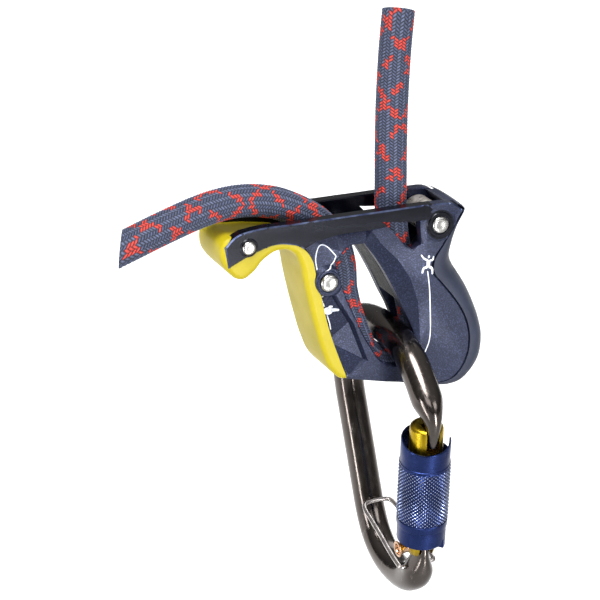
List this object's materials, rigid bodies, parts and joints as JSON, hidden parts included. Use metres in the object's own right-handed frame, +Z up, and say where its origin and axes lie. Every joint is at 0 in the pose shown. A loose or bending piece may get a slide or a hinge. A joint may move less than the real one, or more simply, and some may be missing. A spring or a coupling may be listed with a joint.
{
  "type": "belay device",
  "caption": "Assisted-braking belay device with a thumb handle, on a climbing rope, with a locking pear carabiner clipped through its slots.",
  "frame": {"origin": "middle of the brake roller at the top right of the device, halfway between the side plates", "axes": "+Z up along the climber's rope, +X towards the rear spine and away from the thumb hook, Y across the side plates with -Y the face that shows the printed marks"},
  "size_m": [0.1231, 0.0756, 0.199],
  "materials": {
    "plate_navy": "bead-blasted dark blue anodised aluminium",
    "spine_slate": "dull slate grey moulding",
    "handle_yellow": "lemon yellow moulding, slightly soft sheen",
    "insert_black": "black ribbed liner",
    "roller_steel": "worn turned steel",
    "pin_steel": "scratched bright steel",
    "rope_sheath": "woven navy and grey-blue sheath with coral flecks",
    "frame_gunmetal": "polished gunmetal anodising",
    "gate_gold": "satin gold anodising",
    "sleeve_blue": "royal blue anodising with diamond knurling",
    "rivet_bronze": "polished bronze-coloured rivet",
    "wire_steel": "bright drawn spring wire"
  },
  "bodies": {
    "housing": {"near_side_plate": "plate_navy", "far_side_plate": "plate_navy", "rear_spine": "spine_slate", "handle_grip": "handle_yellow", "brake_insert": "insert_black", "brake_roller": "roller_steel", "roller_pin": "pin_steel", "centre_bush": "pin_steel", "centre_pin": "pin_steel", "thumb_rivet": "pin_steel", "rope_live_strand": "rope_sheath", "rope_live_inner": "rope_sheath", "rope_brake_inner": "rope_sheath", "rope_brake_strand": "rope_sheath"},
    "rope_turn": {"rope_bight": "rope_sheath"},
    "carabiner": {"carabiner_frame": "frame_gunmetal", "gate_hinge_rivet": "rivet_bronze"},
    "gate": {"gate_body": "gate_gold", "gate_plunger": "pin_steel", "gate_spring": "wire_steel", "sleeve_spring": "wire_steel", "sleeve_retaining_ring": "pin_steel"},
    "sleeve": {"lock_sleeve": "sleeve_blue"},
    "keeper": {"keeper_wire": "wire_steel"}
  },
  "joints": [
    {"name": "slot_slide", "type": "slide", "parent": "housing", "child": "rope_turn", "axis": [-0.3499, 0, 0.9368], "range_m": [0, 0.006], "deforming": ["rope_live_inner", "rope_bight", "rope_brake_inner"]},
    {"name": "carabiner_swing", "type": "hinge", "parent": "rope_turn", "child": "carabiner", "pos_m": [-0.0134, 0, -0.037], "axis": [0, 1, 0], "range_deg": [-15, 15]},
    {"name": "gate_open", "type": "hinge", "parent": "carabiner", "child": "gate", "pos_m": [-0.00981, -0.0215, -0.10551], "axis": [-0.9986, 0, -0.0523], "range_deg": [0, 18], "stiffness_Nm_per_rad": 0.2, "springref_deg": -11.46},
    {"name": "sleeve_twist", "type": "hinge", "parent": "gate", "child": "sleeve", "pos_m": [-0.00981, -0.0215, -0.10551], "axis": [-0.0515, -0.1727, 0.9836], "range_deg": [0, 90], "stiffness_Nm_per_rad": 0.01, "springref_deg": -11.46},
    {"name": "keeper_open", "type": "hinge", "parent": "carabiner", "child": "keeper", "pos_m": [-0.00935, -0.0182, -0.11429], "axis": [0.9986, 0, 0.0523], "range_deg": [0, 25], "stiffness_Nm_per_rad": 0.02, "springref_deg": -11.46}
  ]
}
